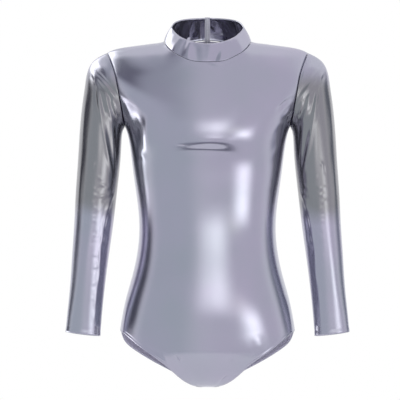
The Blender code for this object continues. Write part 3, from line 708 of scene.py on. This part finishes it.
SLEEVE_BEHIND = (
    (217.0, -52.0, 164.0, -112.0, -1.6, 2.4, -2.0),
    (221.0, -58.0, 168.0, -118.0, 1.4, 2.2, -2.0),
    (210.0, -38.0, 176.0, -90.0, 1.8, 10.0, -2.0),
    (207.0, -84.0, 194.0, -180.0, 1.8, 2.8, 1.0),
    (200.0, -92.0, 186.0, -176.0, -1.5, 3.4, 0.8),
    (188.0, -96.0, 174.0, -230.0, 1.6, 2.6, 1.6),
    (194.0, -176.0, 182.0, -270.0, 1.3, 3.0, 1.5),
    (228.0, -284.0, 200.0, -296.0, 1.0, 2.6, 1.4),
    (232.0, -302.0, 196.0, -318.0, -1.0, 2.6, 1.4),
    (226.0, -322.0, 190.0, -330.0, 1.0, 2.8, 1.2),
    (212.0, -340.0, 186.0, -344.0, -0.7, 2.4, 0.8),
    (214.0, -346.0, 222.0, -430.0, 1.1, 3.2, 1.4),
    (222.0, -424.0, 228.0, -516.0, 0.9, 3.4, -1.4),
    (206.0, -380.0, 214.0, -470.0, -0.9, 3.6, 1.0),
)
SLEEVE_GAP = 0.6
# The cuff's hem: how much thicker it is, its width, and the depth, place and width of its groove
HEM_STEP, HEM_WIDTH = 0.35, 9.0
HEM_GROOVE, HEM_GROOVE_PLACE, HEM_GROOVE_WIDTH = 0.3, 9.5, 1.2


def sleeve_grid(ring_count, around):
    columns = np.array(SLEEVE).T
    stations = np.concatenate(([0.0], np.cumsum(
        np.hypot(*np.diff((columns[0:2] + columns[2:4]) / 2, axis=1)) + 6.0)))
    s = np.linspace(0, 1, ring_count + 1)
    s = (s + 0.35 * s ** 2) / 1.35
    ox, oz, ix, iz, b, bow = (curve_through(stations, c, s * stations[-1])[:, None] for c in columns)
    theta = np.linspace(-math.pi, math.pi, around + 1)[None, :]
    length = np.hypot(ox - ix, oz - iz)
    lean = bow * np.sin(theta) ** 2
    x = (ox + ix) / 2 + (ox - ix) / 2 * np.cos(theta) - (oz - iz) / length * lean
    z = (oz + iz) / 2 + (oz - iz) / 2 * np.cos(theta) + (ox - ix) / length * lean
    grid = np.stack([x, -b * np.sin(theta) + 0 * x, z], axis=-1)
    ax, az = armhole(np.abs(theta[0]) / math.pi)
    first = np.array([on_body(ax[i], az[i], -1.0 if theta[0][i] >= 0 else 1.0) for i in range(len(ax))])
    near = np.clip(s / 0.16, 0, 1)[:, None, None]
    grid = grid + (first - grid[0])[None] * (1 - near) ** 2 * (1 + 2 * near)
    grid[..., 0] += SLEEVE_GAP
    return grid, np.degrees(theta[0])


def fold_sleeve(grid, degrees, table):
    n = grid_normals(grid, wrap=True)
    n = n if np.sum(n[-9, :, 0] * np.cos(np.radians(degrees))) > 0 else -n
    z = grid[..., 2]
    lift = np.zeros(z.shape)
    for top_angle, low_angle, z_top, z_low, height, spread in table:
        t = np.clip((z_top - z) / (z_top - z_low), 0, 1)
        along = np.sin(math.pi * t) ** 0.8
        off = (degrees[None, :] - top_angle - (low_angle - top_angle) * t + 180) % 360 - 180
        lift += height * along * (np.exp(-(off / spread) ** 2) - 0.35 * np.exp(-(off / (2 * spread)) ** 2))
    start = np.clip(np.arange(len(grid)) / len(grid) / 0.27, 0, 1) ** 2
    front, behind = np.clip(-n[..., 1] * 1.6, 0, 1), np.clip(n[..., 1] * 1.6, 0, 1)
    x = grid[..., 0]
    lines = crease_height(x, z, SLEEVE_FRONT) * front + crease_height(x, z, SLEEVE_BEHIND) * behind
    edge = np.linalg.norm(grid - grid[:1], axis=-1)
    lines = lines * np.clip(edge / 5.0, 0, 1) - ARMHOLE_ROLL * np.exp(-(edge / ROLL_WIDTH) ** 2)
    hem = np.linalg.norm(grid - grid[-1:], axis=-1)
    lines += HEM_STEP / (1 + np.exp((hem - HEM_WIDTH) / 0.8))
    lines -= HEM_GROOVE * np.exp(-((hem - HEM_GROOVE_PLACE) / HEM_GROOVE_WIDTH) ** 2)
    return grid + n * (lift * start[:, None] + lines)[..., None]


def close_seam(sheet):
    """Welds the two long edges of a grid that has been rolled into a tube."""
    deselect_all()
    sheet.select_set(True)
    bpy.context.view_layer.objects.active = sheet
    bpy.ops.object.mode_set(mode="EDIT")
    bpy.ops.mesh.select_all(action="SELECT")
    bpy.ops.mesh.remove_doubles(threshold=0.00002)
    bpy.ops.object.mode_set(mode="OBJECT")


sleeve_points, sleeve_degrees = sleeve_grid(200, 136)
sleeve_points = fold_sleeve(sleeve_points, sleeve_degrees, LONG_FOLDS)
for name, points, x in (("left", sleeve_points, 0.21), ("right", mirrored(sleeve_points), -0.21)):
    sleeve = lay_grid("sleeve_" + name + "_cloth", points)
    close_seam(sleeve)
    face_out(sleeve, (x, 0.0, -0.3))
    sleeve_area = area_of(sleeve)
    thicken(sleeve, BODY_CLOTH, sleeve_foil, wrong_side)
    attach(sleeve, GARMENT)
    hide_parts("sleeve_" + name)
    print(sleeve.name, "area", round(sleeve_area, 4))

# %% [markdown]
# ## Stand collar
# The collar is one strip folded double, higher at the back than at the front, and open at the centre
# back for the zip. It leans in a little to the neck.

# %% Collar
def collar_top(angle):
    width, front, back, z_front, z_side, z_back = COLLAR_TOP
    mean, swing = (z_front + z_back) / 2, (z_front - z_back) / 2
    return (width * np.sin(angle), -np.cos(angle) * np.where(np.cos(angle) > 0, front, back),
            (mean + z_side) / 2 + swing * np.cos(angle) + (mean - z_side) / 2 * np.cos(2 * angle))


# How far the collar bows out between its edges, in mm
COLLAR_SWELL = 1.6
# Place round the collar in degrees (0 front, positive to the right of the picture), lean of the fold
# from bottom to top in degrees, height, half width in degrees, the share of the height where it starts
# and ends
COLLAR_FOLDS = (
    (-52.0, 4.0, 0.9, 5.0, -0.2, 1.2), (-40.0, 6.0, -1.3, 5.0, -0.2, 1.2), (-27.0, -3.0, 0.9, 5.0, -0.2, 1.2),
    (-14.0, -4.0, -0.7, 6.0, -0.2, 0.9), (2.0, 3.0, 0.6, 6.0, 0.0, 1.2), (9.0, 10.0, -1.4, 3.5, -0.3, 0.5),
    (17.0, 8.0, 1.0, 4.0, -0.2, 0.7), (30.0, -4.0, -0.6, 6.0, 0.1, 1.2), (48.0, 3.0, 0.7, 7.0, -0.2, 1.2),
    (66.0, -6.0, -0.9, 6.0, 0.1, 1.2), (82.0, 4.0, 0.8, 7.0, -0.2, 1.2), (-72.0, 3.0, -0.8, 7.0, 0.0, 1.2),
    (-92.0, 5.0, 0.8, 7.0, -0.2, 1.2), (-120.0, -8.0, 1.2, 6.0, -0.2, 1.2),
    (-134.0, 10.0, -1.4, 5.0, -0.1, 1.2), (-150.0, -8.0, 1.3, 5.0, 0.0, 1.2),
    (-163.0, 6.0, -1.3, 4.0, 0.2, 1.2), (-172.0, 3.0, 1.0, 3.5, -0.2, 1.2),
    (118.0, 8.0, -0.9, 6.0, 0.3, 1.2), (136.0, -10.0, 1.2, 5.0, 0.2, 1.2), (148.0, 8.0, -1.3, 4.5, 0.3, 1.2),
    (160.0, -6.0, 1.0, 4.0, 0.3, 1.2), (169.0, 4.0, -1.0, 3.5, 0.4, 1.2),
)


def collar_grid(steps, rows):
    angle = np.linspace(math.pi, -math.pi, steps + 1)
    angle[0] -= SEAM / NECKLINE[0]
    angle[-1] += SEAM / NECKLINE[0]
    turn = np.abs(angle)
    base = np.stack(neck_line(np.clip(turn, 1e-6, math.pi)), axis=-1)
    base[:, 0] *= np.sign(angle + 1e-9)
    top = np.stack(collar_top(angle), axis=-1)
    out = unit(base * np.array([1.0, 1.0, 0.0]))
    base = base + unit(top - base) * 1.0
    degrees = np.degrees(angle)
    grid = []
    for t in np.linspace(0, 1, rows):
        fold = np.zeros(len(angle))
        for place, lean, height, spread, start, end in COLLAR_FOLDS:
            fade = np.clip(4 * (t - start), 0, 1) * np.clip(4 * (end - t), 0, 1)
            fold += height * fade * np.exp(-((degrees - place - lean * t) / spread) ** 2)
        rim = 0.7 * math.exp(-((1 - t) / 0.06) ** 2) + 0.5 * math.exp(-(t / 0.05) ** 2)
        ends = np.clip((math.pi - turn) / 0.03, 0, 1)
        grid.append(base + (top - base) * t
                    + out * (COLLAR_SWELL * math.sin(math.pi * t) + fold * ends - rim)[:, None])
    return np.array(grid)


collar = lay_grid("collar_cloth", collar_grid(360, 28)[::-1])
face_out(collar, (0.0, 0.0, 0.0))
collar_area = area_of(collar)
thicken(collar, COLLAR_CLOTH, collar_foil, collar_foil)
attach(collar, GARMENT)
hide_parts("collar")
print("collar area", round(collar_area, 4))

# %% [markdown]
# ## Elastics and zip
# An elastic is turned in round each leg opening and shows as a matte ribbed band inside it. The zip's
# woven tape runs down the wrong side of the centre back, with its coil on it, and is seen inside the
# collar. The slider and its pull are satin metal.

# %% Leg elastics and zip
ELASTIC_WIDTH, ELASTIC_THICK, ELASTIC_GAP = 10.0, 0.9, 1.7
EDGE_INSET, RIBS, RIB_HEIGHT = 0.8, 6, 0.12
ZIP_FOOT, ABOVE_COLLAR = -200.0, 1.5
TAPE_HALF_WIDTH, TAPE_THICK, TAPE_GAP = 5.0, 0.8, 0.7
COIL_HALF_WIDTH, COIL_RISE, COIL_PITCH = 1.8, 1.1, 1.5
# Points along the body and up the collar, and how far either side of the neck seam the wall changes
BODY_POINTS, COLLAR_POINTS, WALL_BLEND = 160, 40, 3.0


def off_form(p):
    """Zero on the form, positive outside it, for any number of points."""
    x, y, z = p[..., 0], p[..., 1], p[..., 2]
    whole = np.where(y < 0, depth(z, -1), depth(z, 1))
    return (np.maximum(np.abs(y) - SEAM, 0) / whole) ** 2 - fullness(x, z) ** 2


def form_slope(p, step=0.4):
    slopes = [(off_form(p + step * e) - off_form(p - step * e)) / (2 * step) for e in np.eye(3)]
    return np.stack(slopes, axis=-1)


def settle(p):
    """The points of the form nearest to p."""
    for _ in range(6):
        g = form_slope(p)
        p = p - g * (off_form(p) / np.maximum((g * g).sum(-1), 1e-12))[..., None]
    return p


def band_grid(around, across):
    """The left elastic's outer face, round the leg and then back to where it started."""
    half = np.linspace(0, 1, around // 2 + 1)
    front, back = on_body(*leg_line(-1, half), -1), on_body(*leg_line(1, half), 1)
    front[[0, -1], 1] = 0.0
    edge = np.concatenate([front, back[-2:0:-1]])
    ahead = unit(np.roll(edge, -1, axis=0) - np.roll(edge, 1, axis=0))
    into = unit(np.cross(unit(form_slope(edge * [0.9995, 1, 1] + [0, 0, 0.05])), ahead))
    into = into if into[around // 4, 2] > 0 else -into
    rows = []
    for t in np.linspace(0, 1, across):
        flat = settle(edge + into * (EDGE_INSET + t * (ELASTIC_WIDTH - EDGE_INSET)))
        rib = RIB_HEIGHT * math.sin(t * RIBS * 2 * math.pi)
        rows.append(flat - unit(form_slope(flat)) * (BODY_CLOTH + ELASTIC_GAP + RIB_HEIGHT - rib))
    grid = np.array(rows)
    return np.concatenate([grid, grid[:, :1]], axis=1)


def fabric(name, one, other, ribs, roughness):
    material, bench = new_material(name)
    place = bench.node("ShaderNodeTexCoord", {}, {}, 3)
    thread = bench.node("ShaderNodeTexWave", {"bands_direction": "Z"}, {"Vector": place, "Scale": ribs})
    fuzz = bench.node("ShaderNodeTexNoise", {}, {"Vector": place, "Scale": 900.0, "Detail": 2.0})
    bump = bench.node("ShaderNodeBump", {}, {"Strength": 0.35, "Distance": 0.0002,
                                             "Height": thread * 0.6 + fuzz * 0.4})
    bench.shader({"Base Color": bench.mix(thread * 0.5 + fuzz * 0.5, one, other), "Roughness": roughness,
                  "Normal": bump})
    return material


elastic = fabric("ribbed elastic", (0.46, 0.44, 0.55, 1), (0.64, 0.62, 0.74, 1), 420.0, 0.85)
woven_tape = fabric("woven zip tape", (0.48, 0.48, 0.55, 1), (0.66, 0.66, 0.74, 1), 520.0, 0.8)
coil_plastic = fabric("plastic coil", (0.56, 0.56, 0.62, 1), (0.66, 0.66, 0.72, 1), 60.0, 0.35)

band_points = band_grid(360, 13)
for name, points, x in (("left", band_points, 0.07), ("right", mirrored(band_points), -0.07)):
    band = lay_grid("leg_band_" + name + "_cloth", points)
    close_seam(band)
    face_out(band, (x, 0.0, -0.5))
    band_area = area_of(band)
    thicken(band, ELASTIC_THICK - RIB_HEIGHT, elastic, elastic)
    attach(band, GARMENT)
    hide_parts("leg_band_" + name)
    print(band.name, "area", round(band_area, 5))


def zip_rows(across, step, rise):
    """Rows of points along the zip, rise mm off the wrong side of the cloth, from its foot upwards."""
    neck = np.array(neck_line(math.pi)).ravel() * [0, 1, 1]
    top = np.array(collar_top(math.pi)) * [0, 1, 1]
    back_z = np.linspace(ZIP_FOOT, neck[2], BODY_POINTS)
    body = on_body(0.0, back_z, 1) * [0, 1, 1]
    share = np.linspace(0, 1, COLLAR_POINTS)[1:, None]
    up = unit(top - neck)
    collar_part = neck + (top - neck) * share + [0, COLLAR_SWELL, 0] * np.sin(math.pi * share)
    line = np.concatenate([body, collar_part, [top + up * ABOVE_COLLAR]])
    run = np.concatenate(([0], np.cumsum(np.linalg.norm(np.diff(line, axis=0), axis=1))))
    even = np.arange(0, run[-1], step)
    line = np.stack([np.interp(even, run, line[:, i]) for i in range(3)], axis=-1)
    ahead = unit(np.gradient(line, axis=0))
    out = np.stack([0 * ahead[:, 0], ahead[:, 2], -ahead[:, 1]], axis=-1)
    seam_range = [run[BODY_POINTS - 2] - WALL_BLEND, run[BODY_POINTS] + WALL_BLEND]
    wall = np.interp(even, seam_range, [BODY_CLOTH, COLLAR_CLOTH])
    rows = (line - out * (wall + TAPE_GAP)[:, None])[:, None] - out[:, None] * rise(even)[..., None]
    rows[..., 0] = across
    rows[..., 1] -= across ** 2 / (2 * COLLAR_TOP[0])
    return rows


tape_across = np.linspace(-TAPE_HALF_WIDTH, TAPE_HALF_WIDTH, 11)
coil_across = np.linspace(-COIL_HALF_WIDTH, COIL_HALF_WIDTH, 15)


def flat_tape(along):
    return np.zeros((len(along), len(tape_across)))


def coil_relief(along):
    bow = (1 - (coil_across / COIL_HALF_WIDTH) ** 4).clip(0) ** 0.5
    turns = np.sin(2 * math.pi * (along[:, None] / COIL_PITCH + np.sign(coil_across) * 0.25))
    return TAPE_THICK - 0.1 + COIL_RISE * bow * (0.7 + 0.3 * turns)


tape = lay_grid("zip_tape_cloth", zip_rows(tape_across, 1.0, flat_tape))
face_out(tape, (0.0, 0.5, -0.1))
tape_area = area_of(tape)
thicken(tape, TAPE_THICK, woven_tape, woven_tape)
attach(tape, GARMENT)
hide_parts("zip_tape")
print("tape area", round(tape_area, 5), "box", tape.dimensions[:])

coil = lay_grid("zip_coil", zip_rows(coil_across, COIL_PITCH / 6, coil_relief))
face_out(coil, (0.0, 0.5, -0.1))
coil.data.materials.clear()
coil.data.materials.append(coil_plastic)
bpy.ops.object.shade_smooth()
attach(coil, GARMENT)

zip_metal, metal_bench = new_material("satin zip metal")
metal_place = metal_bench.node("ShaderNodeTexCoord", {}, {}, 3)
drawn = metal_bench.node("ShaderNodeMapping", {}, {"Vector": metal_place, "Scale": (1.0, 1.0, 0.06)})
scratches = metal_bench.node("ShaderNodeTexNoise", {}, {"Vector": drawn, "Scale": 2600.0, "Detail": 3.0})
metal_bench.shader({"Base Color": metal_bench.mix(scratches, (0.52, 0.52, 0.55, 1), (0.66, 0.66, 0.69, 1)),
                    "Metallic": 1.0, "Roughness": 0.26 + scratches * 0.16})
for name in ("zip_slider", "zip_pull"):
    fitting = frame["nodes"][name]
    fitting.data.materials.clear()
    fitting.data.materials.append(zip_metal)
print("elastics, tape, coil, slider and pull done")

# %% [markdown]
# ## The studio
# The garment was lit in a white studio, where the walls, the lights and the dark gaps between them
# all show in the foil. The world holds that room: its brightness changes with direction only, bright
# behind and in the lamps, and dim in the gaps. Two soft lamps light the matte pieces.

# %% World, lamps and floor
world = bpy.data.worlds.new("white studio")
bpy.context.scene.world = world
room = Bench(world)
way = room.node("ShaderNodeTexCoord")
split = room.node("ShaderNodeSeparateXYZ", {}, {0: way})
x_way, y_way, z_way = (Wire(room, split.socket.node.outputs[i]) for i in range(3))
turn = room.node("ShaderNodeMath", {"operation": "ARCTAN2"}, {0: x_way, 1: y_way * -1.0})

azimuth = turn * (180 / math.pi)
height = room.node("ShaderNodeMath", {"operation": "ARCSINE"}, {0: z_way}) * (180 / math.pi)


def step_up(value, edge, soft):
    return room.node("ShaderNodeMapRange", {"interpolation_type": "SMOOTHSTEP"},
                     {0: value, 1: edge - soft, 2: edge + soft})


# Bearing from, to and softness, height from, to and softness, all in degrees, then the colour. The
# bearing is 0 in front of the garment, -90 on the picture's left and 90 on its right.
ROOM = (
    (-75.0, -5.0, 14.0, -95.0, 95.0, 5.0, (0.66, 0.70, 0.74)),
    (-5.0, 80.0, 14.0, -95.0, 95.0, 5.0, (0.78, 0.76, 0.83)),
    (-75.0, -15.0, 18.0, 22.0, 95.0, 10.0, (0.50, 0.52, 0.57)),
    (-24.0, 28.0, 12.0, -54.0, -38.0, 5.0, (0.20, 0.20, 0.25)),
    (-2.0, 16.0, 9.0, -6.0, 18.0, 9.0, (1.80, 1.82, 1.80)),
    (18.0, 34.0, 9.0, -8.0, 4.0, 7.0, (1.10, 1.10, 1.08)),
    (28.0, 46.0, 8.0, -19.0, -4.0, 8.0, (2.40, 2.40, 2.40)),
    (-118.0, -82.0, 7.0, -6.0, 24.0, 7.0, (0.07, 0.07, 0.10)),
    (-130.0, -92.0, 6.0, -38.0, -9.0, 5.0, (3.0, 3.0, 3.0)),
    (92.0, 126.0, 8.0, -6.0, 24.0, 7.0, (0.26, 0.28, 0.34)),
    (92.0, 128.0, 7.0, -34.0, -10.0, 5.0, (0.30, 0.32, 0.40)),
    (-140.0, -88.0, 8.0, 28.0, 58.0, 6.0, (3.0, 3.0, 2.9)),
    (-84.0, -50.0, 6.0, 28.0, 64.0, 8.0, (0.20, 0.20, 0.25)),
)
light = (1.0, 1.0, 1.02, 1.0)
for from_turn, to_turn, soft_turn, low, high, soft_height, colour in ROOM:
    inside = (step_up(azimuth, from_turn, soft_turn) * (1.0 - step_up(azimuth, to_turn, soft_turn))
              * step_up(height, low, soft_height) * (1.0 - step_up(height, high, soft_height)))
    light = room.mix(inside, light, (*colour, 1.0))
seen = room.node("ShaderNodeLightPath")
light = room.mix(seen, light, (1.0, 1.0, 1.0, 1.0))
background = world.node_tree.nodes["Background"]
world.node_tree.links.new(light.socket, background.inputs["Color"])
background.inputs["Strength"].default_value = 1.0

for name, place, size, power in (("left lamp", (-1.6, -1.8, 1.2), 0.9, 8.0),
                                 ("right lamp", (1.7, -1.4, 0.9), 0.9, 8.0)):
    bpy.ops.object.light_add(type="AREA", location=place)
    lamp = bpy.context.object
    lamp.name = name
    lamp.data.shape = "DISK"
    lamp.data.size = size
    lamp.data.energy = power
    lamp.visible_glossy = False
    aim = Vector((0, 0, -0.25)) - Vector(place)
    lamp.rotation_euler = aim.to_track_quat("-Z", "Y").to_euler()

deselect_all()
bpy.ops.mesh.primitive_circle_add(vertices=96, radius=0.8, fill_type="NGON", location=(0, 0, -1.1))
floor = bpy.context.object
floor.name = "floor"
floor_paint, floor_bench = new_material("pale floor")
floor_bench.shader({"Base Color": (0.86, 0.86, 0.87, 1), "Roughness": 0.9})
floor.data.materials.append(floor_paint)

bpy.context.scene.view_settings.view_transform = "Standard"
bpy.context.scene.view_settings.look = "None"

# %% Deselect everything
deselect_all()
